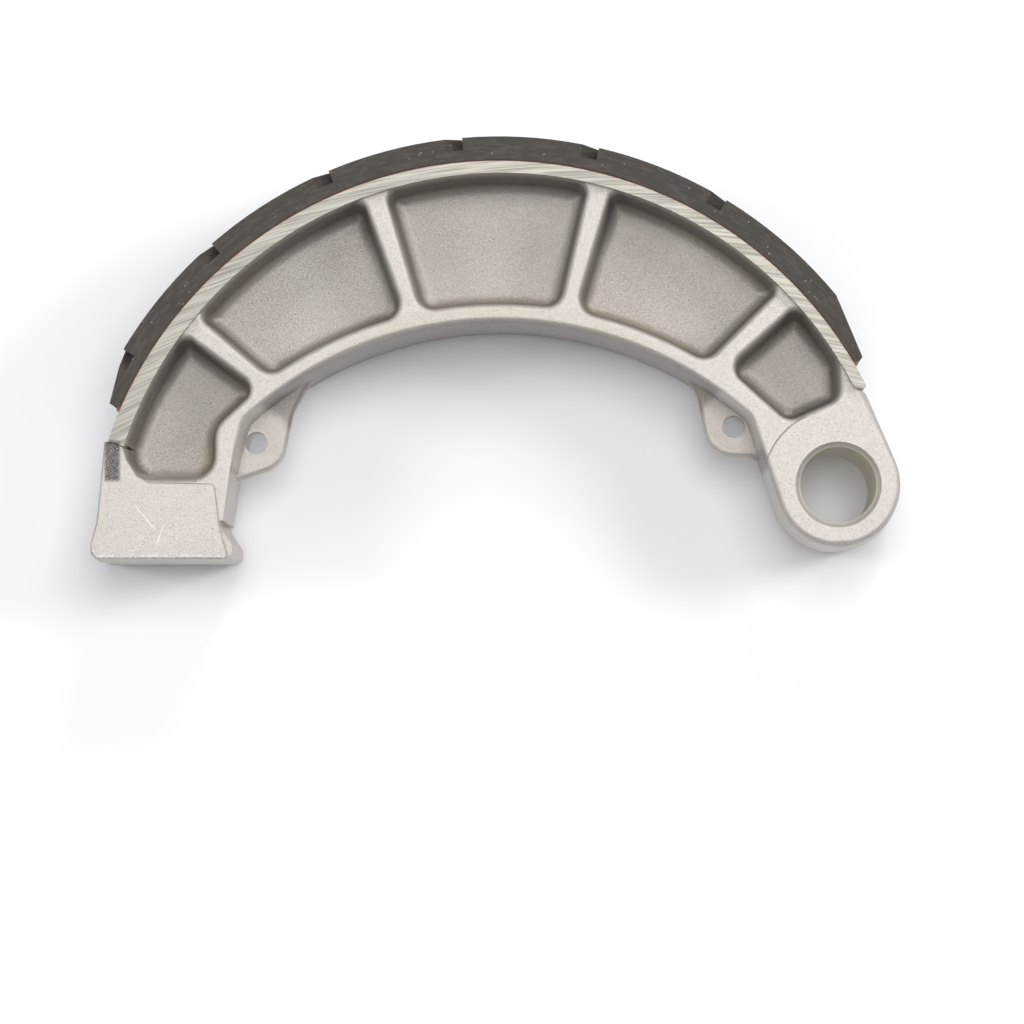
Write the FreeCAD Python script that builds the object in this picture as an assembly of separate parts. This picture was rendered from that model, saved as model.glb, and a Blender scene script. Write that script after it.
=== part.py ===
import FreeCAD, Part
import math
import os

# Brake shoe of a motorcycle drum brake: a cast aluminium shoe with a bonded friction lining.
# Lengths are millimetres and angles are degrees.
# The plan is drawn about the axis of the drum, with X to the pivot end and Y to the crown of the arc.
# The finished pieces are then moved so that the origin is the middle of the pivot bore.
# Z is parallel to the axis of the drum, and the face without pin marks looks to +Z.


# Drum and lining
drum_radius = 80.0
lining_thickness = 4.3
lining_width = 30.0
lining_from = 30.4
lining_to = 156.6
toe_flat_from = 39.2
toe_flat_drop = 2.6
heel_flat_from = 149.2
heel_flat_drop = 2.3

# Diagonal dust grooves of the lining, sized where they break out of its sides
groove_count = 6
groove_first = 150.5
groove_pitch = 18.2
groove_mouth = 3.2
groove_depth = 2.3
groove_slant = 45.0
groove_steps = 6

# Adhesive between the lining and the shoe, with the bead squeezed out at both ends
bond_thickness = 0.2
bond_inset = 0.4
bead_length = 0.8
bead_height = 0.7
bead_round = 0.5

# The plan is drawn on a grid with this many units to the table's radius, each a millimetre here
grid_units = 75.5
lining_inner_radius = drum_radius - lining_thickness
table_radius = lining_inner_radius - bond_thickness


def drawn(value):
    """A length, place or outline of the plan, taken from units of the grid to millimetres."""
    if isinstance(value, tuple):
        return tuple(drawn(part) for part in value)
    return value * table_radius / grid_units


# Table: the curved outer wall that carries the lining
table_recess = 0.3
table_thickness = drawn(2.75)
table_from = 26.2
table_inner_from = 27.6
table_to = 161.5
table_end_rounds = drawn((1.5, 0.5))
cast_wall_shift = drawn(0.75)
cast_wall_shift_angle = 50.0

# Body of the casting
rib_recess = 1.7
web_half_width = 2.1
body_draft = 2.2
body_inset = drawn(0.6)
stock_step_inset = drawn(1.8)
mouth_round = drawn(1.0)
rim_chamfer = drawn(1.0)

# Inner flange, an arc drawn about a centre below the drum axis
flange_centre_drop = drawn(23.2)
flange_inner_radius = drawn(68.8)
flange_width = drawn(3.7)
bend_round = drawn(4.0)

# Pockets and ribs
rib_angles = (141.3, 108.3, 75.2, 43.4)
rib_angular_width = 3.3
pocket_draft = 4.5
pocket_corner = drawn(3.4)
floor_round = drawn(2.4)
wall_corner = drawn(2.2)
wall_undercut = drawn(0.12)
least_corner = drawn(0.3)
round_bands = 2

# Toe pocket, beside the pivot: inner corner, lower corner and outer corner, each with its radius
toe_pocket_corners = drawn(((42.1, 37.5, 2.8), (53.3, 27.4, 3.2), (62.9, 31.7, 2.8)))
toe_pocket_outer = drawn((61.9, 45.8))

# Heel pocket, beside the cam end: four corners round its lower lobe and neck
heel_pocket_corners = drawn(((-68.6, 17.0, 5.0), (-52.1, 17.0, 4.5), (-52.1, 26.6, -5.0), (-44.3, 33.8, 2.4)))
heel_pocket_outer = drawn((-68.6, 37.5))

# Pivot end
pivot_distance = drawn(64.4)
pivot_angle = 14.3
pivot_bore = 14.0
pivot_bore_chamfer = 0.9
boss_radius = drawn(11.8)
toe_bend = drawn((45.1, 30.4))
toe_shoulder = drawn((67.9, 32.9))

# Spring ears
ear_distance = drawn(51.4)
ear_angles = (151.7, 32.1)
ear_hole = 4.2
ear_hole_reach = 2.8
ear_radius = drawn(5.5)
ear_half_width = 2.4
ear_draft = 3.0
ear_chamfer = drawn(0.7)

# Ear outlines: where each leaves the hole's round, the free side first, then along the flange
heel_ear_free = drawn(((-35.4, 35.6), (-38.5, 30.3)))
heel_ear_foot = drawn(((-51.0, 16.6),))
heel_ear_root = drawn(((-50.4, 19.5), (-48.0, 26.5), (-45.5, 30.8), (-41.0, 34.0), (-36.5, 36.9)))
toe_ear_free = drawn(((34.9, 36.4), (36.9, 33.3)))
toe_ear_foot = drawn(((47.2, 21.6), (48.7, 20.5), (49.5, 18.8)))
toe_ear_root = drawn(((51.0, 19.5), (49.6, 23.5), (47.0, 30.0), (43.0, 33.0), (38.5, 36.0), (36.0, 37.5)))
ear_bend_round = drawn(6.0)
ear_foot_round = drawn(1.0)

# Cam end: the block with the face that the cam pushes, and its flared foot
cam_face = drawn(2.3)
cam_inner_wall = drawn(((-45.6, 30.8), (-49.1, 16.8), (-50.2, 9.1)))
foot_inner = drawn(((-51.0, 8.9), (-48.4, 5.2)))
foot_outer = drawn(((-75.5, 5.0), (-74.4, 9.0)))
cam_outer_top = drawn((-72.6, 23.9))
foot_round = drawn(1.4)
cam_pad_rise = 0.7
cam_pad_chamfer = 0.4

# Pad outline: beside the pocket, along the inner side, both ends of the cam face and up the outer side
cam_pad_beside_pocket = drawn(((-69.2, 24.0), (-68.3, 20.7), (-66.4, 17.7), (-64.1, 16.4)))
cam_pad_inner = drawn(((-52.1, 16.2), (-51.2, 8.5), (-49.7, 3.1)))
cam_pad_face = drawn((-50.0, -73.9))
cam_pad_outer = drawn(((-74.85, 3.6), (-74.85, 5.2), (-73.75, 9.1), (-72.4, 23.9)))
cam_pad_corner = drawn(0.9)

# Marks of the ejector pins on the -Z face
pin_disc = 6.0
pin_disc_distance = drawn(71.2)
pin_disc_lead = 0.8
pin_disc_recess = 0.4
pin_mark = 5.6
pin_mark_depth = 0.2
boss_pin_marks = drawn(((52.0, 23.1), (66.5, 26.8)))
cam_pin_mark = drawn((-62.7, 9.7))
cam_pin_hole = 3.4
cam_pin_hole_depth = 5.0

# Values that follow from the ones above
cast_wall_radius = table_radius - table_thickness
table_half_width = 0.5 * lining_width - table_recess
body_half_width = table_half_width - rib_recess
cam_pad_half_width = body_half_width + cam_pad_rise
pin_disc_half_width = 0.5 * lining_width - pin_disc_recess
beyond = 2.0 * drum_radius
clear = 0.1 * lining_width
core_radius = table_radius - clear
cutter_radius = table_radius + clear
corner_reach = 0.3
near = 0.001
stock_radius = table_radius - stock_step_inset
up = FreeCAD.Vector(0, 0, 1)


def point(x, y, z=0.0):
    return FreeCAD.Vector(x, y, z)


def polar(radius, angle, z=0.0):
    a = math.radians(angle)
    return FreeCAD.Vector(radius * math.cos(a), radius * math.sin(a), z)


mouth_radius = cast_wall_radius + wall_undercut
drum_axis = point(0, 0)
pivot = polar(pivot_distance, pivot_angle)
flange_centre = point(0, -flange_centre_drop)
cast_wall_centre = polar(cast_wall_shift, cast_wall_shift_angle)
ear_centres = [polar(ear_distance, angle) for angle in ear_angles]


def drift(height, draft):
    """How far a drafted wall leans over a height."""
    return height * math.tan(math.radians(draft))


def disc(centre, radius):
    """A round flat face in the plane of the plan."""
    return Part.Face(Part.Wire(Part.Circle(centre, up, radius).toShape()))


def polygon(corners):
    """A flat face with straight sides through plan points, its normal along +Z."""
    places = [point(c[0], c[1]) for c in corners]
    face = Part.Face(Part.makePolygon(places + places[:1]))
    if face.normalAt(0, 0).z < 0:
        places.reverse()
        face = Part.Face(Part.makePolygon(places + places[:1]))
    return face


def crossing(first, first_to, second, second_to):
    """Where the line through two plan points meets the line through two others."""
    u = first_to - first
    v = second_to - second
    w = second - first
    share = (w.x * v.y - w.y * v.x) / (u.x * v.y - u.y * v.x)
    return first + share * u


def set_in(places, distance):
    """The corners of an outline whose straight sides have all moved in by a distance."""
    ahead = places[1:] + places[:1]
    twice_area = sum(a.x * b.y - a.y * b.x for a, b in zip(places, ahead))
    shift = math.copysign(distance, distance * twice_area)
    sides = []
    for first, last in zip(places, ahead):
        along = (last - first).normalize()
        inward = shift * FreeCAD.Vector(-along.y, along.x, 0)
        sides.append((first + inward, last + inward))
    return [crossing(*before, *after) for before, after in zip(sides[-1:] + sides[:-1], sides)]


def wedge_corners(angle_from, angle_to):
    """The drum axis and three far points that close off all between two directions."""
    middle = 0.5 * (angle_from + angle_to)
    return [drum_axis] + [polar(beyond, angle) for angle in (angle_from, middle, angle_to)]


def wedge(angle_from, angle_to):
    """The part of the plan between two directions from the drum axis."""
    return polygon(wedge_corners(angle_from, angle_to))


def plan_of(block):
    """The flat face under a block that stands on the parting plane."""
    lowest = min(block.Faces, key=lambda face: face.CenterOfMass.z)
    return Part.Face(lowest.OuterWire)


def merge_plan(faces):
    """One flat face from overlapping ones, with no lines left inside."""
    blocks = [face.extrude(up) for face in faces]
    return plan_of(blocks[0].fuse(blocks[1:]).removeSplitter())


def slab(face, half_width):
    """A straight block of the given plan, centred on the parting plane."""
    block = face.extrude(2.0 * half_width * up)
    block.translate(-half_width * up)
    return block


def upright_edges(solid, places):
    """The edges along Z that stand at the given plan points."""
    found = []
    for edge in solid.Edges:
        first = edge.Vertexes[0].Point
        last = edge.Vertexes[-1].Point
        if math.hypot(first.x - last.x, first.y - last.y) > near:
            continue
        if any(math.hypot(first.x - place[0], first.y - place[1]) < corner_reach for place in places):
            found.append(edge)
    return found


def round_corners(face, corners):
    """Rounds corners of a flat face, each given as x, y and radius."""
    block = face.extrude(up)
    for radius in sorted({corner[2] for corner in corners}):
        places = [corner for corner in corners if corner[2] == radius]
        block = block.makeFillet(radius, upright_edges(block, places))
    return plan_of(block)


def tangent_foot(outside, centre, radius, side):
    """Where the tangent from a point touches a circle, on the side given as 1 or -1."""
    toward = outside - centre
    turn = math.degrees(math.acos(radius / toward.Length))
    base = math.degrees(math.atan2(toward.y, toward.x))
    return centre + polar(radius, base + side * turn)


def drafted(face, from_height, to_height, lean):
    """A block between two heights whose outline moves out by lean, inward where it is negative."""
    foot = face.OuterWire
    top = foot.makeOffset2D(lean, 2)
    foot.translate(from_height * up)
    top.translate(to_height * up)
    return Part.makeLoft([foot, top], True, True)


def both_ways(half):
    """A half above the parting plane joined to its mirror image below."""
    return half.fuse(half.mirror(drum_axis, up)).removeSplitter()


def level_edges(solid, height):
    """The edges that lie in a plane across Z."""
    return [e for e in solid.Edges if abs(e.BoundBox.ZMin - height) < near > abs(e.BoundBox.ZMax - height)]


def edge_near(edges, x, y):
    """The edge that passes closest to a plan point, at the edges' own height."""
    spot = Part.Vertex(point(x, y, edges[0].BoundBox.ZMin))
    return min(edges, key=lambda edge: edge.distToShape(spot)[0])


def meets_flange(start, end):
    """Where the line from start to end crosses the inner face of the flange, next to its start."""
    along = end - start
    out = start - flange_centre
    b = out.dot(along)
    c = out.dot(out) - flange_inner_radius ** 2
    share = (-b - math.sqrt(b * b - along.dot(along) * c)) / along.dot(along)
    return start + share * along


def body_plan():
    """Outline of the casting at the parting plane, inside the machined table."""
    crescent = disc(drum_axis, table_radius - body_inset).cut(disc(flange_centre, flange_inner_radius))
    crescent = crescent.common(wedge(table_from, table_to))
    toe_start = point(*toe_bend)
    inner_foot = tangent_foot(toe_start, pivot, boss_radius, 1)
    outer_foot = tangent_foot(point(*toe_shoulder), pivot, boss_radius, -1)
    toe = polygon([toe_start, inner_foot, pivot, outer_foot, toe_shoulder, polar(core_radius, ear_angles[1])])
    foot_inner_corner = (foot_inner[1][0], cam_face)
    foot_outer_corner = (foot_outer[0][0], cam_face)
    stock_step = polar(stock_radius, table_to)
    heel = list(cam_inner_wall) + list(foot_inner) + [foot_inner_corner, foot_outer_corner]
    heel = polygon(heel + list(foot_outer) + [cam_outer_top, stock_step, polar(core_radius, ear_angles[0])])
    plan = merge_plan([crescent, disc(pivot, boss_radius), toe, heel])
    heel_bend = meets_flange(point(*cam_inner_wall[0]), point(*cam_inner_wall[1]))
    bends = [meets_flange(toe_start, inner_foot), heel_bend]
    corners = [(bend.x, bend.y, bend_round) for bend in bends]
    corners += [place + (foot_round,) for place in (foot_inner_corner, foot_outer_corner)]
    corners += [place + (foot_round,) for place in (foot_inner[1], foot_outer[0])]
    return round_corners(plan, corners)


def pocket_outline(places, beside_flange, inward):
    """A pocket's sharp outline, moved in from its mouth: straight sides closed by table and flange."""
    face = polygon(set_in(places, inward)).common(disc(cast_wall_centre, mouth_radius - inward))
    if beside_flange:
        face = face.cut(disc(flange_centre, flange_inner_radius + flange_width + inward))
    return face.Faces[0]


def outer_corners(mouth):
    """The corners where a pocket meets the table."""
    reach = [v.Point.distanceToPoint(cast_wall_centre) for v in mouth.Vertexes]
    return [(v.X, v.Y, wall_corner) for v, r in zip(mouth.Vertexes, reach) if abs(r - mouth_radius) < near]


def rib_pocket(rib_before, rib_after):
    """The pocket between two ribs: its straight sides, that it meets the flange, and its corners."""
    half_rib = 0.5 * rib_angular_width
    places = wedge_corners(rib_after + half_rib, rib_before - half_rib)
    mouth = pocket_outline(places, True, 0.0)
    inner = sorted(mouth.Vertexes, key=lambda v: v.Point.distanceToPoint(flange_centre))[:2]
    return places, True, [(v.X, v.Y, pocket_corner) for v in inner] + outer_corners(mouth)


def end_pocket(rib_side, corners, outer):
    """A pocket at one end of the shoe: its straight sides, that it misses the flange, and its corners."""
    places = [polar(cutter_radius, rib_side)] + [point(c[0], c[1]) for c in corners] + [point(*outer)]
    return places, False, list(corners) + outer_corners(pocket_outline(places, False, 0.0))


def pockets():
    """All pockets from the cam end to the pivot end."""
    half_rib = 0.5 * rib_angular_width
    between = [rib_pocket(a, b) for a, b in zip(rib_angles[:-1], rib_angles[1:])]
    heel = end_pocket(rib_angles[0] + half_rib, heel_pocket_corners[::-1], heel_pocket_outer)
    toe = end_pocket(rib_angles[-1] - half_rib, toe_pocket_corners, toe_pocket_outer)
    return [heel] + between + [toe]


def wall_levels():
    """Heights up a pocket's wall, from its floor to above its mouth, each with its distance inward."""
    lean = math.radians(pocket_draft)
    turns = [lean + (0.5 * math.pi - lean) * step / round_bands for step in range(round_bands + 1)]
    foot = web_half_width + floor_round
    foot_in = drift(body_half_width - foot, pocket_draft) + floor_round / math.cos(lean)
    brow = body_half_width - mouth_round
    brow_in = drift(mouth_round, pocket_draft) - mouth_round / math.cos(lean)
    levels = [(foot - floor_round * math.sin(t), foot_in - floor_round * math.cos(t)) for t in turns[::-1]]
    levels += [(brow + mouth_round * math.sin(t), brow_in + mouth_round * math.cos(t)) for t in turns]
    return levels + [(body_half_width + clear, brow_in)]


def pocket_ring(places, beside_flange, corners, height, inward):
    """A pocket's outline at a height, with corners that shrink inward or, where they bend out, grow."""
    face = pocket_outline(places, beside_flange, inward)
    rounds = []
    for x, y, radius in corners:
        place = min(face.Vertexes, key=lambda v: math.hypot(v.X - x, v.Y - y))
        size = max(radius - inward, least_corner) if radius > 0 else inward - radius
        rounds.append((place.X, place.Y, size))
    ring = round_corners(face, rounds).OuterWire
    ring.translate(height * up)
    return ring


def pocket_cutter(places, beside_flange, corners):
    """What a pocket takes out of the +Z side: rounded foot, drafted walls and rounded mouth."""
    rings = [pocket_ring(places, beside_flange, corners, *level) for level in wall_levels()]
    return Part.makeLoft(rings, True, True)


def pocketed_body():
    """Web, ribs, inner flange and both ends, with the rim bevelled along the flange and the boss."""
    half = drafted(body_plan(), 0.0, body_half_width, -drift(body_half_width, body_draft))
    crown = edge_near(level_edges(half, body_half_width), 0.0, flange_inner_radius - flange_centre_drop)
    half = half.makeChamfer(rim_chamfer, [crown])
    cutters = [pocket_cutter(*pocket) for pocket in pockets()]
    return both_ways(half.cut(cutters))


def table_rim():
    """The curved wall under the lining, proud of the ribs on both sides."""
    start = [polar(cast_wall_radius, table_inner_from), polar(table_radius, table_from)]
    middle = 0.5 * (table_from + table_to)
    zone = polygon([drum_axis] + start + [polar(beyond, a) for a in (table_from, middle, table_to)])
    rim = disc(drum_axis, table_radius).common(zone)
    rim = rim.cut(disc(cast_wall_centre, cast_wall_radius)).Faces[0]
    ends = sorted([v for v in rim.Vertexes if v.X > 0], key=lambda v: v.X)
    corners = [(v.X, v.Y, r) for v, r in zip(ends, table_end_rounds)]
    return slab(round_corners(rim, corners), table_half_width)


def bevel_rims(solid, half_width, size):
    """Bevels the whole outline of a slab on both faces."""
    for side in (1, -1):
        solid = solid.makeChamfer(size, level_edges(solid, side * half_width))
    return solid


def cam_pad():
    """The raised flat patch at the cam end, on both faces."""
    face_ends = tuple((x, cam_face) for x in cam_pad_face)
    corners = cam_pad_beside_pocket + cam_pad_inner + face_ends + cam_pad_outer
    plan = round_corners(polygon(corners), [cam_pad_inner[0] + (cam_pad_corner,)])
    return bevel_rims(slab(plan, cam_pad_half_width), cam_pad_half_width, cam_pad_chamfer)


def ear(centre, free, foot, root, side):
    """A thin drafted plate that stands inward from the flange, with an end concentric to its hole."""
    free_end = point(*free[-1])
    foot_end = point(*foot[0])
    free_touch = tangent_foot(free_end, centre, ear_radius, side)
    foot_touch = tangent_foot(foot_end, centre, ear_radius, -side)
    tip = crossing(free_end, free_touch, foot_end, foot_touch)
    plan = polygon([point(*place) for place in free] + [tip] + [point(*place) for place in foot + root])
    corners = [(tip.x, tip.y, ear_radius), free[-1] + (ear_bend_round,)]
    plan = round_corners(plan, corners + [place + (ear_foot_round,) for place in foot[:-1]])
    half = drafted(plan, 0.0, ear_half_width, -drift(ear_half_width, ear_draft))
    rim = edge_near(level_edges(half, ear_half_width), free_touch.x, free_touch.y)
    return both_ways(half.makeChamfer(ear_chamfer, [rim]))


def rod(centre, diameter, from_height, to_height):
    """A cylinder along Z between two heights."""
    foot = point(centre.x, centre.y, from_height)
    return Part.makeCylinder(0.5 * diameter, to_height - from_height, foot, up)


def spring_ears():
    """The two ears that hold the return springs, one at each end of the arch."""
    heel = ear(ear_centres[0], heel_ear_free, heel_ear_foot, heel_ear_root, -1)
    toe = ear(ear_centres[1], toe_ear_free, toe_ear_foot, toe_ear_root, 1)
    return [heel, toe]


def pin_discs():
    """Round lands of the ejector pins where the ribs meet the table, on the -Z face."""
    places = [polar(pin_disc_distance, angle + pin_disc_lead) for angle in rib_angles]
    return [rod(place, pin_disc, -pin_disc_half_width, -web_half_width) for place in places]


def pin_marks():
    """What the ejector pins leave in the -Z face: shallow rounds, and a blind hole in the pad."""
    boss_floor = pin_mark_depth - body_half_width
    marks = [rod(point(*mark), pin_mark, -lining_width, boss_floor) for mark in boss_pin_marks]
    place = point(*cam_pin_mark)
    marks.append(rod(place, pin_mark, -lining_width, pin_mark_depth - cam_pad_half_width))
    marks.append(rod(place, cam_pin_hole, -lining_width, cam_pin_hole_depth - cam_pad_half_width))
    return marks


def pivot_hole():
    """The pivot bore with a chamfer at both mouths."""
    bore = rod(pivot, pivot_bore, -lining_width, lining_width)
    radius = 0.5 * pivot_bore
    start = body_half_width - pivot_bore_chamfer
    reach = lining_width - start
    cone = Part.makeCone(radius, radius + reach, reach, pivot + start * up)
    return [bore, cone, cone.mirror(drum_axis, up)]


def casting():
    """The whole shoe in one piece."""
    raised = [table_rim(), cam_pad()] + spring_ears() + pin_discs()
    spring_holes = [rod(centre, ear_hole, -ear_hole_reach, ear_hole_reach) for centre in ear_centres]
    shoe = pocketed_body()
    for piece in raised:
        shoe = shoe.fuse(piece)
    return shoe.cut(spring_holes + pin_marks() + pivot_hole()).Solids[0]


def arc_band(inner, outer, angle_from, angle_to, half_width):
    """A slab between two radii about the drum axis and two directions."""
    plan = disc(drum_axis, outer).common(wedge(angle_from, angle_to)).cut(disc(drum_axis, inner))
    return slab(plan.Faces[0], half_width)


def end_flat(angle, end_angle, drop):
    """What is ground off the lining at one end, down to a plane."""
    foot = polar(drum_radius - drop, end_angle)
    along = foot - polar(drum_radius, angle)
    corners = [foot - 2.0 * along, foot + along, 2.0 * foot, 2.0 * polar(drum_radius, angle)]
    return slab(polygon(corners), lining_width)


def groove(angle):
    """One diagonal groove, cut square to the drum and twisted round it across the width."""
    half_mouth = 0.5 * math.degrees(groove_mouth / drum_radius)
    reach = 0.5 * lining_width + groove_mouth
    rings = []
    for step in range(groove_steps + 1):
        height = reach * (2.0 * step / groove_steps - 1.0)
        behind = math.tan(math.radians(groove_slant)) * (0.5 * lining_width - height)
        middle = angle - math.degrees(behind / drum_radius)
        radii = (drum_radius - groove_depth, drum_radius + groove_mouth)
        sides = (middle - half_mouth, middle + half_mouth)
        places = [polar(radii[0], sides[0], height), polar(radii[1], sides[0], height)]
        places += [polar(radii[1], sides[1], height), polar(radii[0], sides[1], height)]
        rings.append(Part.makePolygon(places + places[:1]))
    return Part.makeLoft(rings, True, False)


def lining():
    """The friction lining with its ground ends and diagonal grooves."""
    band = arc_band(lining_inner_radius, drum_radius, lining_from, lining_to, 0.5 * lining_width)
    flats = [end_flat(toe_flat_from, lining_from, toe_flat_drop)]
    flats.append(end_flat(heel_flat_from, lining_to, heel_flat_drop))
    grooves = [groove(groove_first - step * groove_pitch) for step in range(groove_count)]
    return band.cut(flats + grooves).Solids[0]


def bead(angle_from, angle_to, outer_angle):
    """Adhesive squeezed out at one end of the lining, rounded on its outer side."""
    half_width = 0.5 * lining_width - bond_inset
    top = table_radius + bead_height
    block = arc_band(table_radius, top, angle_from, angle_to, half_width)
    corner = polar(top, outer_angle)
    return block.makeFillet(bead_round, upright_edges(block, [(corner.x, corner.y)]))


def bond():
    """The thin film under the lining, with a bead at each end."""
    half_width = 0.5 * lining_width - bond_inset
    bead_angle = math.degrees(bead_length / table_radius)
    film = arc_band(table_radius, lining_inner_radius, lining_from, lining_to, half_width)
    toe_bead = bead(lining_from - bead_angle, lining_from, lining_from - bead_angle)
    heel_bead = bead(lining_to, lining_to + bead_angle, lining_to + bead_angle)
    return film.fuse([toe_bead, heel_bead]).removeSplitter().Solids[0]


os.makedirs("parts", exist_ok=True)
pieces = {"shoe_casting": casting(), "friction_lining": lining(), "bond_layer": bond()}
for name, piece in pieces.items():
    piece.translate(-1.0 * pivot)
    piece.exportStep("parts/" + name + ".step")
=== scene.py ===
import math
from types import SimpleNamespace

import bpy
from mathutils import Matrix, Vector


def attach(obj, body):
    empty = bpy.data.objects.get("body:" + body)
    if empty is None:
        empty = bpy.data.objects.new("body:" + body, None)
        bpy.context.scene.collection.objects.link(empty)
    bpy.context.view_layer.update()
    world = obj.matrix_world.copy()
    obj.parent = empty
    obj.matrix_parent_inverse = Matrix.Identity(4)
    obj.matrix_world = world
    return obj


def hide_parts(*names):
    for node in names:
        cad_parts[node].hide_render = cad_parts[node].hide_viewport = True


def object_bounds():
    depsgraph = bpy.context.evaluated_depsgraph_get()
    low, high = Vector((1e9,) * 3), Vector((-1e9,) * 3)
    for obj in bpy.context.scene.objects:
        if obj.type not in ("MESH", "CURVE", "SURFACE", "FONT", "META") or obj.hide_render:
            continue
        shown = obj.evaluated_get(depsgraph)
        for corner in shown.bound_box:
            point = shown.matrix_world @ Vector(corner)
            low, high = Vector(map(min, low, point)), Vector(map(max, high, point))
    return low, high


bl_info = {
    "name": "Brake shoe looks",
    "version": (1, 0, 0),
    "blender": (4, 5, 0),
    "location": "View3D > Sidebar > Brake shoe",
    "description": "Dresses a drum brake shoe: cast body, friction lining, adhesive line and studio",
    "category": "Object",
}

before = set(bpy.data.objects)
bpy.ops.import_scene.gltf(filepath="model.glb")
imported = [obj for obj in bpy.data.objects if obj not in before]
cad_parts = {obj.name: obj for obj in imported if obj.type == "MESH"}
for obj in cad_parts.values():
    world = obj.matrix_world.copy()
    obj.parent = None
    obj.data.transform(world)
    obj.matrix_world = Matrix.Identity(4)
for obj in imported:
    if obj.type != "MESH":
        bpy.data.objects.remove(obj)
CAD_BOX = [list(corner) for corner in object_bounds()]

# Where the drum's axis lies, seen from the middle of the pivot bore
DRUM_AXIS = (-0.0624046, -0.0159067)
# Middles of the spring holes
SPRING_HOLES = ((-0.107661, 0.008461), (-0.018863, 0.011407))


class CastingLooks(bpy.types.PropertyGroup):
    """Colours and grain of the cast body."""
    raised: bpy.props.FloatVectorProperty(
        name="Raised skin", description="Cast skin on the ribs, flange and pads",
        subtype="COLOR", size=3, min=0.0, max=1.0, default=(0.55, 0.510, 0.477))
    # Painted shade: a darker copy of the cast skin on the pocket floors, for the shade in the pockets
    pocket_floor_shade: bpy.props.FloatVectorProperty(
        name="Pocket skin", description="Cast skin on the floors of the pockets",
        subtype="COLOR", size=3, min=0.0, max=1.0, default=(0.410, 0.376, 0.350))
    # Painted shade: a dark copy of the cast skin on the walls of the pockets and on the flange's inner face
    # under the arch
    upright: bpy.props.FloatVectorProperty(
        name="Wall skin", description="Cast skin on the walls of the pockets and under the arch",
        subtype="COLOR", size=3, min=0.0, max=1.0, default=(0.21, 0.189, 0.178))
    stain: bpy.props.FloatVectorProperty(
        name="Stain", description="Brown film left in the hollows",
        subtype="COLOR", size=3, min=0.0, max=1.0, default=(0.34, 0.290, 0.210))
    # Painted highlight: a warm lighter band on the flange's top edge, where light glances off its round into
    # the pockets
    painted_lip_highlight: bpy.props.FloatVectorProperty(
        name="Flange tint", description="Warm tint along the top of the flange",
        subtype="COLOR", size=3, min=0.0, max=1.0, default=(0.50, 0.460, 0.385))
    bright_grain: bpy.props.FloatVectorProperty(
        name="Bright grain", description="Raised grains of the cast skin",
        subtype="COLOR", size=3, min=0.0, max=1.0, default=(0.60, 0.57, 0.54))
    dark_grain: bpy.props.FloatVectorProperty(
        name="Dark grain", description="Pits between the grains",
        subtype="COLOR", size=3, min=0.0, max=1.0, default=(0.12, 0.108, 0.10))
    dark_patch: bpy.props.FloatVectorProperty(
        name="Dark patches", description="Duller patches of the cast skin",
        subtype="COLOR", size=3, min=0.0, max=1.0, default=(0.16, 0.14, 0.13))
    # Painted shade: thin dark line where the boss meets the arch
    ring: bpy.props.FloatVectorProperty(
        name="Boss line", description="Thin dark line where the boss meets the arch",
        subtype="COLOR", size=3, min=0.0, max=1.0, default=(0.18, 0.165, 0.155))
    scratch: bpy.props.FloatVectorProperty(
        name="Scratches", description="Bright metal in the scratches on the pad",
        subtype="COLOR", size=3, min=0.0, max=1.0, default=(0.68, 0.66, 0.64))
    torn: bpy.props.FloatVectorProperty(
        name="Torn metal", description="Bright metal on rough edges",
        subtype="COLOR", size=3, min=0.0, max=1.0, default=(0.70, 0.68, 0.65))
    turned: bpy.props.FloatVectorProperty(
        name="Machined metal", description="Bare metal of the machined rim",
        subtype="COLOR", size=3, min=0.0, max=1.0, default=(0.37, 0.350, 0.305))
    cutter_line: bpy.props.FloatVectorProperty(
        name="Cutter lines", description="Dark side of the lines in the machined rim",
        subtype="COLOR", size=3, min=0.0, max=1.0, default=(0.205, 0.192, 0.166))
    bore: bpy.props.FloatVectorProperty(
        name="Bore", description="Bare metal of the pivot bore",
        subtype="COLOR", size=3, min=0.0, max=1.0, default=(0.68, 0.64, 0.55))
    ink: bpy.props.FloatVectorProperty(
        name="Ink", description="Dark smear on the unmachined end of the rim",
        subtype="COLOR", size=3, min=0.0, max=1.0, default=(0.06, 0.055, 0.055))
    grain: bpy.props.FloatProperty(
        name="Grain", description="Size of the grain in the cast skin",
        subtype="DISTANCE", unit="LENGTH", min=0.0001, max=0.002, default=0.00017)


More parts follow.
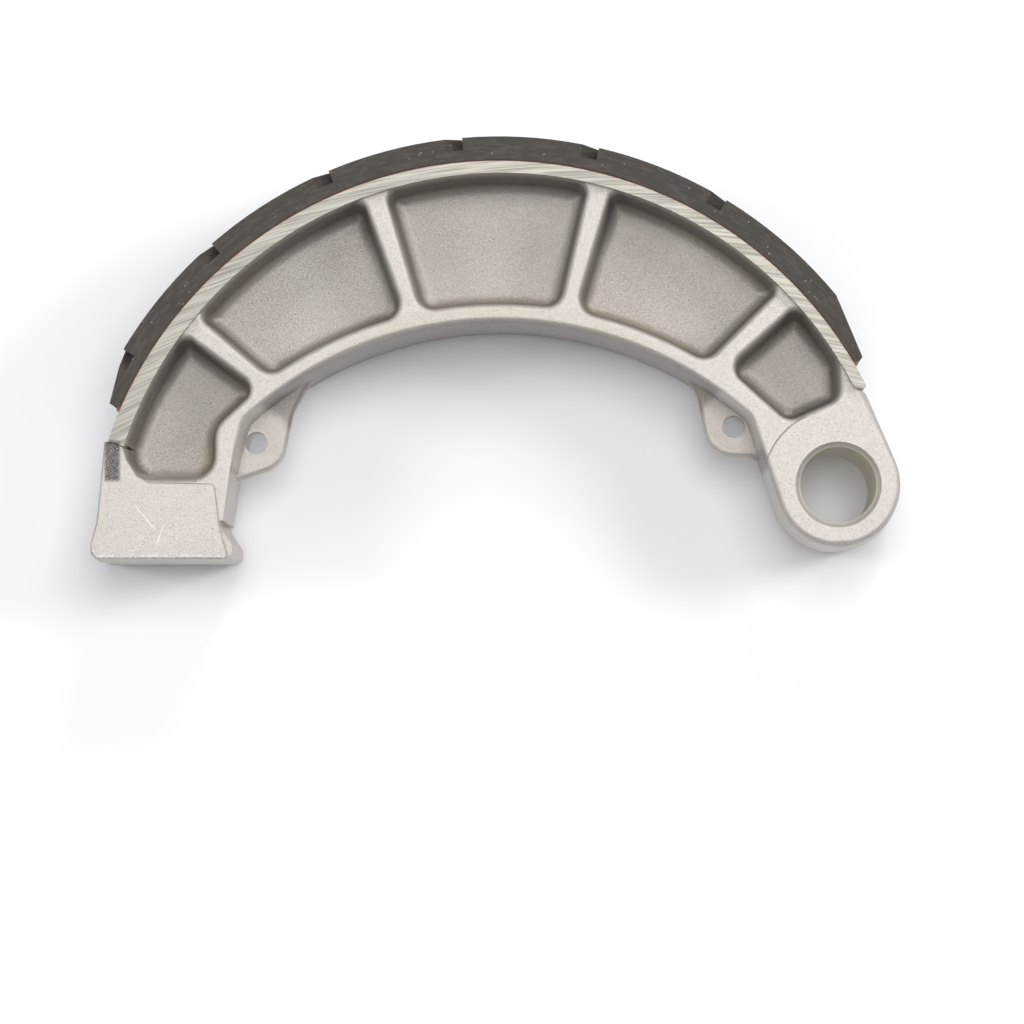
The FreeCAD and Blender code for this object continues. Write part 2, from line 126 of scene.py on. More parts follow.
class LiningLooks(bpy.types.PropertyGroup):
    """Colours of the friction lining and its adhesive."""
    body: bpy.props.FloatVectorProperty(
        name="Compound", description="Friction compound",
        subtype="COLOR", size=3, min=0.0, max=1.0, default=(0.060, 0.052, 0.045))
    streak: bpy.props.FloatVectorProperty(
        name="Streaks", description="Paler streaks along the arc",
        subtype="COLOR", size=3, min=0.0, max=1.0, default=(0.100, 0.089, 0.077))
    patch: bpy.props.FloatVectorProperty(
        name="Patches", description="Darker patches of the compound",
        subtype="COLOR", size=3, min=0.0, max=1.0, default=(0.045, 0.040, 0.036))
    # Darker brown on the walls of the grooves, in patches
    groove: bpy.props.FloatVectorProperty(
        name="Groove", description="Brown film in the grooves",
        subtype="COLOR", size=3, min=0.0, max=1.0, default=(0.045, 0.036, 0.030))
    speck: bpy.props.FloatVectorProperty(
        name="Specks", description="Light specks of filler",
        subtype="COLOR", size=3, min=0.0, max=1.0, default=(0.27, 0.245, 0.205))
    seam: bpy.props.FloatVectorProperty(
        name="Seam", description="Adhesive soaked into the foot of the lining",
        subtype="COLOR", size=3, min=0.0, max=1.0, default=(0.085, 0.035, 0.022))
    glue: bpy.props.FloatVectorProperty(
        name="Adhesive", description="Cured adhesive",
        subtype="COLOR", size=3, min=0.0, max=1.0, default=(0.22, 0.055, 0.035))
    dark_glue: bpy.props.FloatVectorProperty(
        name="Dark adhesive", description="Darker patches of the adhesive",
        subtype="COLOR", size=3, min=0.0, max=1.0, default=(0.10, 0.05, 0.04))


class StageLooks(bpy.types.PropertyGroup):
    """Floor, lamps and camera."""
    floor: bpy.props.FloatVectorProperty(
        name="Floor", description="Pale floor",
        subtype="COLOR", size=3, min=0.0, max=1.0, default=(0.88, 0.88, 0.90))
    room: bpy.props.FloatVectorProperty(
        name="Room", description="Tint of the light from the room round the shoe",
        subtype="COLOR", size=3, min=0.0, max=1.0, default=(0.96, 0.98, 1.0))
    surroundings: bpy.props.FloatProperty(
        name="Surroundings", description="Brightness of the room round the shoe",
        subtype="FACTOR", min=0.0, max=2.0, default=0.32)
    lamp_power: bpy.props.FloatProperty(
        name="Lamps", description="Power of the large lamp above; the side lamps follow it",
        subtype="POWER", unit="POWER", min=0.0, max=100.0, default=8.5)
    floor_size: bpy.props.FloatProperty(
        name="Floor size", description="Side of the square floor",
        subtype="DISTANCE", unit="LENGTH", min=0.2, max=10.0, default=1.6)
    camera_height: bpy.props.FloatProperty(
        name="Camera height", description="Height of the camera above the floor",
        subtype="DISTANCE", unit="LENGTH", min=0.1, max=5.0, default=0.8051)
    focal: bpy.props.FloatProperty(
        name="Focal length", description="Focal length of the camera",
        subtype="DISTANCE_CAMERA", unit="CAMERA", min=10.0, max=400.0, default=149.17)


class Nodes:
    """Builds a material's nodes, one call for each."""

    def __init__(self, name):
        self.material = bpy.data.materials.new(name)
        self.material.use_nodes = True
        self.tree = self.material.node_tree
        self.shader = self.tree.nodes["Principled BSDF"]
        self.place = self.add("ShaderNodeTexCoord").outputs

    def add(self, kind, **values):
        """A new node with its settings."""
        node = self.tree.nodes.new(kind)
        for key, value in values.items():
            setattr(node, key, value)
        return node

    def plug(self, value, socket):
        """Links a node's output to a socket, or writes a plain value in it."""
        if isinstance(value, bpy.types.NodeSocket):
            self.tree.links.new(value, socket)
        else:
            socket.default_value = value

    def math(self, operation, first, second=0.0):
        """One step of arithmetic."""
        node = self.add("ShaderNodeMath", operation=operation)
        self.plug(first, node.inputs[0])
        self.plug(second, node.inputs[1])
        return node.outputs[0]

    def times(self, first, *others):
        """Product of two or more values."""
        for other in others:
            first = self.math("MULTIPLY", first, other)
        return first

    def between(self, value, low, high, start=0.0, end=1.0):
        """Goes softly from start to end while a value goes from low to high."""
        node = self.add("ShaderNodeMapRange", interpolation_type="SMOOTHSTEP")
        for socket, number in zip(node.inputs, (value, low, high, start, end)):
            self.plug(number, socket)
        return node.outputs[0]

    def inside(self, value, low, high, soft):
        """1 where a value lies between two limits, with soft ends."""
        above = self.between(value, low - soft, low + soft)
        below = self.between(value, high + soft, high - soft)
        return self.times(above, below)

    def mix(self, share, first, second):
        """A share of the second colour laid over the first, on the node's sockets for colours."""
        node = self.add("ShaderNodeMix", data_type="RGBA")
        self.plug(share, node.inputs[0])
        self.plug(first, node.inputs[6])
        self.plug(second, node.inputs[7])
        return node.outputs[2]

    def blend(self, share, first, second):
        """A share of the second number laid over the first."""
        node = self.add("ShaderNodeMix", data_type="FLOAT")
        self.plug(share, node.inputs[0])
        self.plug(first, node.inputs[2])
        self.plug(second, node.inputs[3])
        return node.outputs[0]

    def noise(self, scale, detail=3.0, roughness=0.55, vector=None):
        """Cloudy pattern, so many times a metre unless a vector says where."""
        node = self.add("ShaderNodeTexNoise")
        self.plug(vector or self.place["Object"], node.inputs["Vector"])
        node.inputs["Scale"].default_value = scale
        node.inputs["Detail"].default_value = detail
        node.inputs["Roughness"].default_value = roughness
        return node.outputs[0]

    def cells(self, scale):
        """Distance from the middle of the nearest cell."""
        node = self.add("ShaderNodeTexVoronoi")
        self.plug(self.place["Object"], node.inputs["Vector"])
        node.inputs["Scale"].default_value = scale
        return node.outputs["Distance"]

    def split(self, vector):
        """The three parts of a vector."""
        node = self.add("ShaderNodeSeparateXYZ")
        self.plug(vector, node.inputs[0])
        return tuple(node.outputs)

    def join(self, x, y, z):
        """A vector from its three parts."""
        node = self.add("ShaderNodeCombineXYZ")
        for socket, value in zip(node.inputs, (x, y, z)):
            self.plug(value, socket)
        return node.outputs[0]

    def bump(self, height, distance, strength, under=None):
        """Relief of a height, laid over the relief under it."""
        node = self.add("ShaderNodeBump")
        self.plug(height, node.inputs["Height"])
        node.inputs["Distance"].default_value = distance
        node.inputs["Strength"].default_value = strength
        if under is not None:
            self.plug(under, node.inputs["Normal"])
        return node.outputs[0]

    def seen_from(self, x, y):
        """Place seen from an upright axis through x, y, with the height left out."""
        node = self.add("ShaderNodeMapping")
        self.plug(self.place["Object"], node.inputs["Vector"])
        node.inputs["Location"].default_value = (-x, -y, 0.0)
        node.inputs["Scale"].default_value = (1.0, 1.0, 0.0)
        return node.outputs[0]

    def radius_about(self, x, y):
        """Distance from an upright axis through x, y."""
        node = self.add("ShaderNodeVectorMath", operation="LENGTH")
        self.plug(self.seen_from(x, y), node.inputs[0])
        return node.outputs["Value"]

    def angle_about(self, x, y):
        """Turn about an upright axis through x, y, in radians."""
        parts = self.split(self.seen_from(x, y))
        return self.math("ARCTAN2", parts[1], parts[0])

    def along(self, start, end):
        """Distances along and across a line drawn in plan between two points."""
        node = self.add("ShaderNodeMapping", vector_type="TEXTURE")
        self.plug(self.place["Object"], node.inputs["Vector"])
        node.inputs["Location"].default_value = (start[0], start[1], 0.0)
        turn = math.atan2(end[1] - start[1], end[0] - start[0])
        node.inputs["Rotation"].default_value = (0.0, 0.0, turn)
        return self.split(node.outputs[0])


def opaque(colour):
    """A colour with full cover."""
    return (colour[0], colour[1], colour[2], 1.0)


# Grain of the cast skin: detail and roughness of the fine noise, and how much coarser the other is
GRAIN_DETAIL = 2.0
GRAIN_ROUGHNESS = 0.7
COARSE_STEP = 0.4


def shoe_places(m, grain_size):
    """Where a point of the shoe lies, and the grain of the cast skin there."""
    x, y, z = m.split(m.place["Object"])
    return SimpleNamespace(
        x=x, y=y, z=z,
        height=m.math("ABSOLUTE", z),
        radius=m.radius_about(*DRUM_AXIS),
        turn=m.angle_about(*DRUM_AXIS),
        about_pivot=m.radius_about(0.0, 0.0),
        grain=m.noise(1.0 / grain_size, GRAIN_DETAIL, GRAIN_ROUGHNESS),
        coarse=m.noise(COARSE_STEP / grain_size))


# Middle line of the flange: its radius at the crown, what it gains with the square of the swing away
# from the crown, and the most that it reaches
FLANGE_AT_CROWN = 0.0478
FLANGE_SPREAD = 0.0078
FLANGE_MOST = 0.0556
# Stretches over which one part of the casting gives way to the next
FLANGE_MIDDLE = (-0.0006, 0.0006)
ARCH_FOOT = (0.0020, 0.0032)
BOSS_EDGE = (0.0128, 0.0140)
TABLE_EDGE = (0.0745, 0.0735)
POCKET_MOUTH = (0.0128, 0.0085)
POCKET_WALL_FOOT = (0.0024, 0.0045)
FLANGE_SHOULDER = (0.0129, 0.0118)
EAR_ROUND = (0.0055, 0.0075)
STAINED_FOOT = (0.0052, 0.0026)
# Shares of the painted wall shade on the flange's inner face and on the walls of the pockets
INNER_FACE_SHADE = 0.75
POCKET_WALL_SHADE = 0.85


def pocket_masks(m, at):
    """Where the pockets are, where upright faces take painted shade, and where the stained foot of a wall is.
    """
    swing = m.math("SUBTRACT", at.turn, math.pi / 2)
    flange_middle = m.math("ADD", m.times(swing, swing, FLANGE_SPREAD), FLANGE_AT_CROWN)
    past_flange = m.math("SUBTRACT", at.radius, m.math("MINIMUM", flange_middle, FLANGE_MOST))
    arch = m.times(m.between(at.y, *ARCH_FOOT), m.between(at.about_pivot, *BOSS_EDGE))
    hollow = m.times(m.between(past_flange, *FLANGE_MIDDLE), m.between(at.radius, *TABLE_EDGE))
    hollow = m.times(hollow, arch, m.between(at.height, *POCKET_MOUTH))
    shaded_inner_face = m.between(past_flange, *reversed(FLANGE_MIDDLE))
    shaded_inner_face = m.times(shaded_inner_face, m.between(at.height, *FLANGE_SHOULDER))
    for hole in SPRING_HOLES:
        shaded_inner_face = m.times(shaded_inner_face, m.between(m.radius_about(*hole), *EAR_ROUND))
    # Painted shade on the pocket walls and the flange's inner face, which face away from the light
    walls = m.times(hollow, m.between(at.height, *POCKET_WALL_FOOT, 0.0, POCKET_WALL_SHADE))
    upright = m.math("MAXIMUM", m.times(shaded_inner_face, arch, INNER_FACE_SHADE), walls)
    foot = m.times(hollow, m.between(past_flange, *STAINED_FOOT))
    return hollow, upright, foot


# Brown film: how often its clouds come in a metre, where they start and end, and their share
CLOUDS = 95.0
CLOUD_DETAIL = 4.0
CLOUD_EDGE = (0.42, 0.75)
FILM_SHARE = 0.20
FILM_DEPTH = (0.0125, 0.0060)
FOOT_STAIN_SHARE = 0.6
# Painted warm highlight on the flange's top and its round into the pockets: its radii, soft ends, heights and
# share
LIP_RADII = (0.0470, 0.0502)
LIP_SOFT = 0.0012
LIP_HEIGHT = (0.0105, 0.0128)
LIP_HIGHLIGHT_SHARE = 0.5
# Where bright and dark grains and dull patches start and end, and their shares
BRIGHT_GRAIN = (0.52, 0.78)
DARK_GRAIN = (0.48, 0.22)
DULL_PATCH = (0.50, 0.25)
GRAIN_SHARE = 0.75
PATCH_SHARE = 0.15


def cast_skin(m, at, looks):
    """Cast skin of every part of the body, with painted shade in the pockets and on upright faces, a painted
    highlight on the flange's top, and its stains and grain.
    """
    hollow, upright, foot = pocket_masks(m, at)
    # Painted shade: darker skin on the pocket floors
    skin = m.mix(hollow, opaque(looks.raised), opaque(looks.pocket_floor_shade))
    # Painted shade on the upright faces
    skin = m.mix(upright, skin, opaque(looks.upright))
    clouds = m.between(m.noise(CLOUDS, CLOUD_DETAIL), *CLOUD_EDGE, 0.0, FILM_SHARE)
    skin = m.mix(m.times(clouds, m.between(at.height, *FILM_DEPTH)), skin, opaque(looks.stain))
    skin = m.mix(m.times(foot, FOOT_STAIN_SHARE), skin, opaque(looks.stain))
    # Painted highlight: warm band along the flange's top edge
    lip_highlight = m.times(m.inside(at.radius, *LIP_RADII, LIP_SOFT), m.between(at.height, *LIP_HEIGHT))
    skin = m.mix(m.times(lip_highlight, LIP_HIGHLIGHT_SHARE), skin, opaque(looks.painted_lip_highlight))
    skin = m.mix(m.between(at.grain, *BRIGHT_GRAIN, 0.0, GRAIN_SHARE), skin, opaque(looks.bright_grain))
    skin = m.mix(m.between(at.grain, *DARK_GRAIN, 0.0, GRAIN_SHARE), skin, opaque(looks.dark_grain))
    return m.mix(m.between(at.coarse, *DULL_PATCH, 0.0, PATCH_SHARE), skin, opaque(looks.dark_patch))


# Painted shade line round the boss, where it meets the arch: its radius, half width from edge to core, share,
# turns, soft ends and height
RING_RADIUS = 0.01385
RING_HALF_WIDTH = (0.00026, 0.00008)
RING_SHARE = 0.75
RING_TURNS = (2.05, 2.80)
RING_SOFT = 0.12
RING_HEIGHT = (0.0122, 0.0125)


def painted_boss_shade(m, at):
    """Painted shade: thin dark arc where the top of the boss meets the arch."""
    off_line = m.math("ABSOLUTE", m.math("SUBTRACT", at.about_pivot, RING_RADIUS))
    arc = m.times(m.between(off_line, *RING_HALF_WIDTH, 0.0, RING_SHARE),
                  m.inside(m.angle_about(0.0, 0.0), *RING_TURNS, RING_SOFT))
    return m.times(arc, m.between(at.height, *RING_HEIGHT))


# Ends of the scratches, their half width from edge to core, and their soft ends
SCRATCHES = (((-0.1290, -0.0039), (-0.1255, -0.0081)), ((-0.1239, -0.0076), (-0.1251, -0.0111)))
SCRATCH_HALF_WIDTH = (0.00016, 0.00004)
SCRATCH_SOFT = 0.0006
PAD_TOP = (0.01352, 0.01358)


def scratches(m, at):
    """Two thin straight scratches on the pad."""
    marks = 0.0
    for start, end in SCRATCHES:
        parts = m.along(start, end)
        line = m.between(m.math("ABSOLUTE", parts[1]), *SCRATCH_HALF_WIDTH)
        part = m.inside(parts[0], 0.0, math.dist(start, end), SCRATCH_SOFT)
        marks = m.math("MAXIMUM", m.times(line, part), marks)
    return m.times(m.between(at.height, *PAD_TOP), marks)


# Torn edge along the cam end of the pad: its start and end, height, and the grain that it follows
TORN_EDGE = (-0.0126, -0.0132)
TORN_GRAIN = (0.46, 0.56)
TORN_HEIGHT = (0.0132, 0.0135)
# Burr where the machined rim stops: its sides, soft ends, inner end and height
BURR_SIDES = (0.00780, 0.00830)
BURR_SOFT = 0.0001
BURR_END = (-0.1300, -0.1308)
BURR_HEIGHT = (0.0120, 0.0125)
ROUGH_SHARE = 0.8


def rough_edges(m, at):
    """Bright torn metal along the cam end of the pad and where the machined rim stops."""
    torn = m.times(m.between(at.y, *TORN_EDGE), m.between(at.coarse, *TORN_GRAIN))
    torn = m.times(torn, m.between(at.height, *TORN_HEIGHT))
    burr = m.times(m.inside(at.y, *BURR_SIDES, BURR_SOFT), m.between(at.x, *BURR_END))
    burr = m.times(burr, m.between(at.height, *BURR_HEIGHT))
    return m.times(m.math("MAXIMUM", torn, burr), ROUGH_SHARE)


# Ink on the end of the rim: its sides in plan with their soft ends, its lower end and its cover
INK_X = (-0.1347, -0.1319)
INK_X_SOFT = 0.0004
INK_Y = (0.0007, 0.0081)
INK_Y_SOFT = 0.0005
INK_FOOT = (0.0100, 0.0120)
INK_GRAIN = (0.45, 0.70)
INK_COVER = (0.95, 0.40)


def ink_patch(m, at):
    """Dark grainy smear on the end of the rim, on one side only."""
    patch = m.times(m.inside(at.x, *INK_X, INK_X_SOFT), m.inside(at.y, *INK_Y, INK_Y_SOFT))
    return m.times(patch, m.between(at.z, *INK_FOOT), m.between(at.grain, *INK_GRAIN, *INK_COVER))


# Middle of the facing cutter's sweep
CUTTER_AXIS = (DRUM_AXIS[0] + 0.020, DRUM_AXIS[1] - 0.150)
# Lines of the cutter: how many in a metre across, how many in a radian along, detail, roughness,
# layer of the noise, and share
FINE_LINES = (3600.0, 14.0, 2.0, 0.6, 0.0, 0.65)
BROAD_LINES = (1100.0, 5.0, 1.0, 0.5, 3.0, 0.35)


def cutter_lines(m):
    """Fine arcs that the facing cutter leaves on the sides of the rim."""
    sweep = m.radius_about(*CUTTER_AXIS)
    turn = m.angle_about(*CUTTER_AXIS)
    lines = []
    for across, along, detail, roughness, layer, share in (FINE_LINES, BROAD_LINES):
        place = m.join(m.times(sweep, across), m.times(turn, along), layer)
        lines.append(m.times(m.noise(1.0, detail, roughness, place), share))
    return m.math("ADD", *lines)


# Machined faces: the sides of the rim, and the outer face of the table between two turns
RIM_SIDE = (0.01452, 0.01458)
TABLE_FACE = (0.07540, 0.07545)
TABLE_TURNS = (math.radians(26.5), math.radians(160.9))
TABLE_TURNS_SOFT = 0.003
BORE_WALL = (0.00735, 0.00715)
LINE_EDGE = (0.36, 0.60)
# Finish of the metal
METAL_SHARE = 0.62
RIM_ROUGHNESS = 0.45
SKIN_ROUGHNESS = (0.52, 0.42)
ROUGHNESS_EDGE = (0.3, 0.7)
GRAIN_RELIEF = 0.9
COARSE_RELIEF = 0.5
RELIEF_DEPTH = 0.00010
RELIEF_STRENGTH = 0.9


def casting_material(looks):
    """Grainy cast skin with brown hollows, and fine cutter lines on the machined faces."""
    m = Nodes("cast_aluminium_skin")
    at = shoe_places(m, looks.grain)
    skin = cast_skin(m, at, looks)
    # Painted shade line round the boss
    skin = m.mix(painted_boss_shade(m, at), skin, opaque(looks.ring))
    skin = m.mix(scratches(m, at), skin, opaque(looks.scratch))
    skin = m.mix(rough_edges(m, at), skin, opaque(looks.torn))
    table_face = m.times(m.between(at.radius, *TABLE_FACE), m.inside(at.turn, *TABLE_TURNS, TABLE_TURNS_SOFT))
    rim = m.math("MAXIMUM", m.between(at.height, *RIM_SIDE), table_face)
    lines = cutter_lines(m)
    bare = m.mix(m.between(lines, *LINE_EDGE), opaque(looks.cutter_line), opaque(looks.turned))
    colour = m.mix(rim, skin, bare)
    colour = m.mix(m.between(at.about_pivot, *BORE_WALL), colour, opaque(looks.bore))
    colour = m.mix(ink_patch(m, at), colour, opaque(looks.ink))
    m.plug(colour, m.shader.inputs["Base Color"])
    m.shader.inputs["Metallic"].default_value = METAL_SHARE
    skin_roughness = m.between(at.coarse, *ROUGHNESS_EDGE, *SKIN_ROUGHNESS)
    m.plug(m.blend(rim, skin_roughness, RIM_ROUGHNESS), m.shader.inputs["Roughness"])
    skin_relief = m.math("ADD", m.times(at.grain, GRAIN_RELIEF), m.times(at.coarse, COARSE_RELIEF))
    relief = m.bump(m.blend(rim, skin_relief, lines), RELIEF_DEPTH, RELIEF_STRENGTH)
    m.plug(relief, m.shader.inputs["Normal"])
    return m.material


# Streaks in the lining: how many in a metre outward, in a radian along and in a metre across
STREAKS = (2600.0, 34.0, 700.0)
STREAK_ROUGHNESS = 0.6
STREAK_EDGE = (0.42, 0.66)
STREAK_SHARE = 0.55
# Dark patches
PATCHES = 300.0
PATCH_DETAIL = 4.0
PATCH_EDGE = (0.5, 0.72)
DARK_PATCH_SHARE = 0.6
# Specks: where they gather, and how large they are in their cells
SPECK_CLUSTERS = 420.0
CLUSTER_DETAIL = 2.0
CLUSTER_EDGE = (0.60, 0.68)
SPECK_CELLS = 1500.0
SPECK_EDGE = (0.30, 0.16)
# Walls of the grooves: their radii, soft ends, the sides of the lining and the cover of the darker brown
GROOVE_RADII = (0.0776, 0.07985)
GROOVE_SOFT = 0.0001
LINING_SIDE = (0.01499, 0.0149)
GROOVE_DARKENING_EDGE = (0.35, 0.6)
GROOVE_DARKENING = (0.25, 0.75)
# Adhesive at the foot of the lining: the waves of its edge, its radii and its share
SEAM_WAVES = 520.0
SEAM_WAVE_HEIGHT = 0.0006
SEAM_EDGE = (0.07612, 0.07600)
SEAM_SHARE = 0.8
# Finish of the compound
COMPOUND_ROUGHNESS_EDGE = (0.3, 0.7)
COMPOUND_ROUGHNESS = (0.92, 0.75)
COMPOUND_SPECULAR = 0.3
COMPOUND_GRAIN = 1500.0
COMPOUND_RELIEF = (0.00010, 0.8)
STREAK_RELIEF = (0.00006, 0.5)


def lining_material(looks):
    """Dark moulded compound streaked along the arc, with light specks and a brown adhesive line."""
    m = Nodes("friction_compound")
    z = m.split(m.place["Object"])[2]
    radius = m.radius_about(*DRUM_AXIS)
    turn = m.angle_about(*DRUM_AXIS)
    streak_place = m.join(*(m.times(part, count) for part, count in zip((radius, turn, z), STREAKS)))
    streaks = m.noise(1.0, 3.0, STREAK_ROUGHNESS, streak_place)
    patches = m.noise(PATCHES, PATCH_DETAIL)
    streak_cover = m.between(streaks, *STREAK_EDGE, 0.0, STREAK_SHARE)
    colour = m.mix(streak_cover, opaque(looks.body), opaque(looks.streak))
    colour = m.mix(m.between(patches, *PATCH_EDGE, 0.0, DARK_PATCH_SHARE), colour, opaque(looks.patch))
    clusters = m.between(m.noise(SPECK_CLUSTERS, CLUSTER_DETAIL), *CLUSTER_EDGE)
    dots = m.times(m.between(m.cells(SPECK_CELLS), *SPECK_EDGE), clusters)
    colour = m.mix(dots, colour, opaque(looks.speck))
    off_side = m.between(m.math("ABSOLUTE", z), *LINING_SIDE)
    cut = m.times(m.inside(radius, *GROOVE_RADII, GROOVE_SOFT), off_side)
    # Darker brown in patches on the walls of the grooves
    film = m.times(cut, m.between(patches, *GROOVE_DARKENING_EDGE, *GROOVE_DARKENING))
    colour = m.mix(film, colour, opaque(looks.groove))
    waves = m.times(m.noise(SEAM_WAVES), SEAM_WAVE_HEIGHT)
    seam = m.between(m.math("ADD", radius, waves), *SEAM_EDGE)
    colour = m.mix(m.times(seam, SEAM_SHARE), colour, opaque(looks.seam))
    m.plug(colour, m.shader.inputs["Base Color"])
    roughness = m.between(patches, *COMPOUND_ROUGHNESS_EDGE, *COMPOUND_ROUGHNESS)
    m.plug(roughness, m.shader.inputs["Roughness"])
    m.shader.inputs["Specular IOR Level"].default_value = COMPOUND_SPECULAR
    relief = m.bump(m.noise(COMPOUND_GRAIN), *COMPOUND_RELIEF)
    m.plug(m.bump(streaks, *STREAK_RELIEF, relief), m.shader.inputs["Normal"])
    return m.material


# Clouds in the adhesive, and its finish
GLUE_CLOUDS = 800.0
GLUE_EDGE = (0.3, 0.7)
GLUE_ROUGHNESS = 0.5
GLUE_RELIEF = (0.0001, 0.6)


def glue_material(looks):
    """Dull red-brown cured adhesive."""
    m = Nodes("cured_adhesive")
    shade = m.noise(GLUE_CLOUDS)
    colour = m.mix(m.between(shade, *GLUE_EDGE), opaque(looks.glue), opaque(looks.dark_glue))
    m.plug(colour, m.shader.inputs["Base Color"])
    m.shader.inputs["Roughness"].default_value = GLUE_ROUGHNESS
    m.plug(m.bump(shade, *GLUE_RELIEF), m.shader.inputs["Normal"])
    return m.material


def only(piece):
    """Selects one piece and nothing else."""
    bpy.ops.object.select_all(action="DESELECT")
    piece.select_set(True)
    bpy.context.view_layer.objects.active = piece


# Corners closer than this are one, and faces that turn less than this are one flat face
MERGE_DISTANCE = 0.000003
FLAT_TURN = math.radians(0.2)
# Ends of an edge whose heights differ less than this make it a level edge
LEVEL_DIFFERENCE = 0.0001
FLAT_FACE_WEIGHT = 80


def dressed_copy(node, name, sharp_angle, crisp_reach=0.0):
    """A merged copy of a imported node, smooth apart from its real edges, that stands for it.

    Nearer to the pivot's axis than crisp_reach, level edges alone are sharp.
    """
    only(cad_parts[node])
    bpy.ops.object.duplicate()
    piece = bpy.context.view_layer.objects.active
    piece.name = name
    piece.parent = None
    piece.data.materials.clear()
    bpy.ops.object.mode_set(mode="EDIT")
    bpy.ops.mesh.select_all(action="SELECT")
    bpy.ops.mesh.remove_doubles(threshold=MERGE_DISTANCE)
    bpy.ops.mesh.customdata_custom_splitnormals_clear()
    bpy.ops.mesh.dissolve_limited(angle_limit=FLAT_TURN)
    bpy.ops.object.mode_set(mode="OBJECT")
    bpy.ops.object.shade_smooth_by_angle(angle=sharp_angle)
    for edge in piece.data.edges:
        ends = [piece.data.vertices[number].co for number in edge.vertices]
        if max(math.hypot(end.x, end.y) for end in ends) < crisp_reach:
            edge.use_edge_sharp = abs(ends[0].z - ends[1].z) < LEVEL_DIFFERENCE
    weigh = piece.modifiers.new("flat faces stay flat", "WEIGHTED_NORMAL")
    weigh.keep_sharp = True
    weigh.weight = FLAT_FACE_WEIGHT
    bpy.ops.object.modifier_apply(modifier=weigh.name)
    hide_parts(node)
    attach(piece, "root")
    return piece


# Edges that turn more than this are sharp, and how far the crisp mouths of the bore reach
CASTING_SHARP_TURN = math.radians(52.0)
LINING_SHARP_TURN = math.radians(30.0)
BORE_REACH = 0.0090


class SHOE_OT_casting(bpy.types.Operator):
    """Dresses the cast body"""
    bl_idname = "shoe.casting"
    bl_label = "Casting"

    def execute(self, context):
        piece = dressed_copy("shoe_casting", "cast_body", CASTING_SHARP_TURN, BORE_REACH)
        piece.data.materials.append(casting_material(context.scene.shoe_casting_looks))
        return {"FINISHED"}


class SHOE_OT_lining(bpy.types.Operator):
    """Dresses the friction lining and the adhesive under it"""
    bl_idname = "shoe.lining"
    bl_label = "Lining and adhesive"

    def execute(self, context):
        looks = context.scene.shoe_lining_looks
        piece = dressed_copy("friction_lining", "lining", LINING_SHARP_TURN)
        piece.data.materials.append(lining_material(looks))
        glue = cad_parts["bond_layer"]
        glue.data.materials.clear()
        glue.data.materials.append(glue_material(looks))
        return {"FINISHED"}


FLOOR_HEIGHT = CAD_BOX[0][2]
FLOOR_ROUGHNESS = 0.9
FLOOR_SPECULAR = 0.1


def pale_floor(looks):
    """Plain pale floor under the shoe."""
    bpy.ops.object.select_all(action="DESELECT")
    bpy.ops.mesh.primitive_plane_add(size=looks.floor_size, location=(0.0, 0.0, 0.0))
    floor = bpy.context.view_layer.objects.active
    floor.name = "pale_floor"
    floor.data.transform(Matrix.Translation((0.0, 0.0, FLOOR_HEIGHT)))
    m = Nodes("pale_paper")
    m.plug(opaque(looks.floor), m.shader.inputs["Base Color"])
    m.shader.inputs["Roughness"].default_value = FLOOR_ROUGHNESS
    m.shader.inputs["Specular IOR Level"].default_value = FLOOR_SPECULAR
    floor.data.materials.append(m.material)


# Soft lamps: name, place seen from the middle of the shoe, width, and share of the lamps' power
LAMPS = (
    ("overhead", (0.10, 0.16, 1.25), 0.75, 1.0),
    ("from the right", (0.87, 0.25, 0.72), 0.35, 0.55),
    ("from the left", (-0.87, 0.10, 0.72), 0.35, 0.33),
    ("from the crown side", (0.25, 0.90, 0.65), 0.35, 0.35),
)


def soft_lamps(looks):
    """Round soft lamps, all turned to the middle of the shoe."""
    middle = Vector(CAD_BOX[0]).lerp(Vector(CAD_BOX[1]), 0.5)
    for name, place, width, share in LAMPS:
        data = bpy.data.lights.new(name, "AREA")
        data.shape = "DISK"
        data.size = width
        data.energy = share * looks.lamp_power
        lamp = bpy.data.objects.new(name, data)
        lamp.location = middle + Vector(place)
        lamp.rotation_euler = (middle - lamp.location).to_track_quat("-Z", "Y").to_euler()
        bpy.context.collection.objects.link(lamp)


def white_surroundings(looks):
    """Soft light from all round, which the camera sees as plain white."""
    world = bpy.data.worlds.new("white surroundings")
    world.use_nodes = True
    tree = world.node_tree
    room = tree.nodes["Background"]
    room.inputs["Color"].default_value = opaque(looks.room)
    room.inputs["Strength"].default_value = looks.surroundings
    white = tree.nodes.new("ShaderNodeBackground")
    white.inputs["Color"].default_value = (1.0, 1.0, 1.0, 1.0)
    path = tree.nodes.new("ShaderNodeLightPath")
    pick = tree.nodes.new("ShaderNodeMixShader")
    tree.links.new(path.outputs["Is Camera Ray"], pick.inputs[0])
    tree.links.new(room.outputs[0], pick.inputs[1])
    tree.links.new(white.outputs[0], pick.inputs[2])
    tree.links.new(pick.outputs[0], tree.nodes["World Output"].inputs["Surface"])
    bpy.context.scene.world = world


# Where the camera stands and where it looks, in plan, seen from the drum's axis
CAMERA_PLACE = (0.01595, -0.0315)
CAMERA_AIM = (0.00205, 0.01244)
SENSOR_WIDTH = 36.0


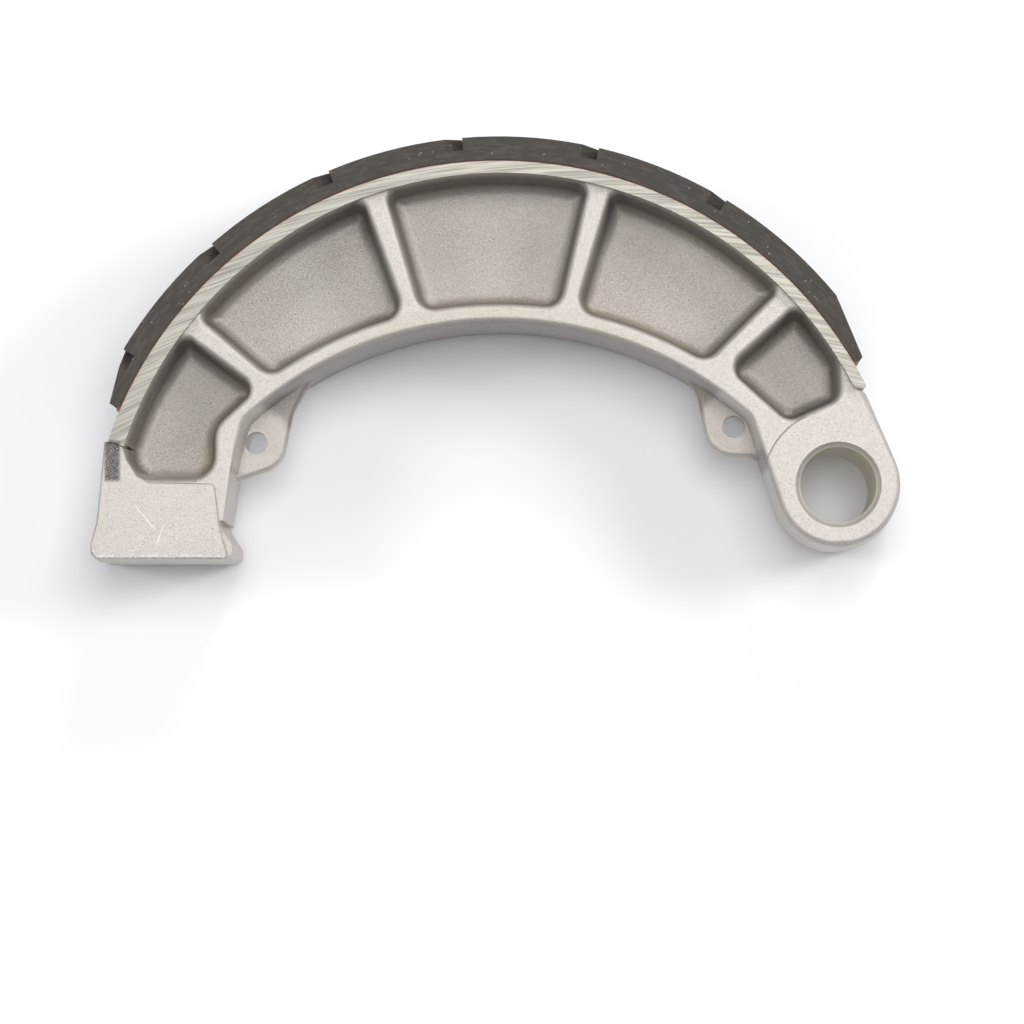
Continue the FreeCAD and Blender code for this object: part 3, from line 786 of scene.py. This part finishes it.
def camera_above(looks):
    """Camera above the shoe, with the crown of the shoe toward the top of the picture."""
    data = bpy.data.cameras.new("camera")
    data.lens = looks.focal
    data.sensor_width = SENSOR_WIDTH
    camera = bpy.data.objects.new("camera", data)
    axis = Vector((*DRUM_AXIS, FLOOR_HEIGHT))
    camera.location = axis + Vector((*CAMERA_PLACE, looks.camera_height))
    aim = (axis + Vector((*CAMERA_AIM, 0.0)) - camera.location).normalized()
    right = aim.cross(Vector((0.0, 1.0, 0.0))).normalized()
    above = right.cross(aim)
    camera.rotation_euler = Matrix((right, above, -aim)).transposed().to_euler()
    bpy.context.collection.objects.link(camera)
    bpy.context.scene.camera = camera


class SHOE_OT_stage(bpy.types.Operator):
    """Adds the pale floor, the soft lamps, the white surroundings and the camera"""
    bl_idname = "shoe.stage"
    bl_label = "Stage"

    def execute(self, context):
        looks = context.scene.shoe_stage_looks
        pale_floor(looks)
        soft_lamps(looks)
        white_surroundings(looks)
        camera_above(looks)
        context.scene.view_settings.view_transform = "Standard"
        return {"FINISHED"}


class SHOE_PT_panel(bpy.types.Panel):
    """Lists the steps that dress the brake shoe"""
    bl_idname = "SHOE_PT_panel"
    bl_label = "Brake shoe"
    bl_space_type = "VIEW_3D"
    bl_region_type = "UI"
    bl_category = "Brake shoe"

    def draw(self, context):
        for operator in STEPS:
            self.layout.operator(operator.bl_idname)
        for name in LOOKS:
            group = getattr(context.scene, name)
            for key in group.bl_rna.properties.keys():
                if key not in ("rna_type", "name"):
                    self.layout.prop(group, key)


LOOKS = {
    "shoe_casting_looks": CastingLooks,
    "shoe_lining_looks": LiningLooks,
    "shoe_stage_looks": StageLooks,
}
STEPS = (SHOE_OT_casting, SHOE_OT_lining, SHOE_OT_stage)
CLASSES = tuple(LOOKS.values()) + STEPS + (SHOE_PT_panel,)


def register():
    for cls in CLASSES:
        bpy.utils.register_class(cls)
    for name, group in LOOKS.items():
        setattr(bpy.types.Scene, name, bpy.props.PointerProperty(type=group))


def unregister():
    for name in LOOKS:
        delattr(bpy.types.Scene, name)
    for cls in reversed(CLASSES):
        bpy.utils.unregister_class(cls)


def main():
    register()
    for step in STEPS:
        category, name = step.bl_idname.split(".")
        getattr(getattr(bpy.ops, category), name)()


if __name__ == "__main__":
    main()
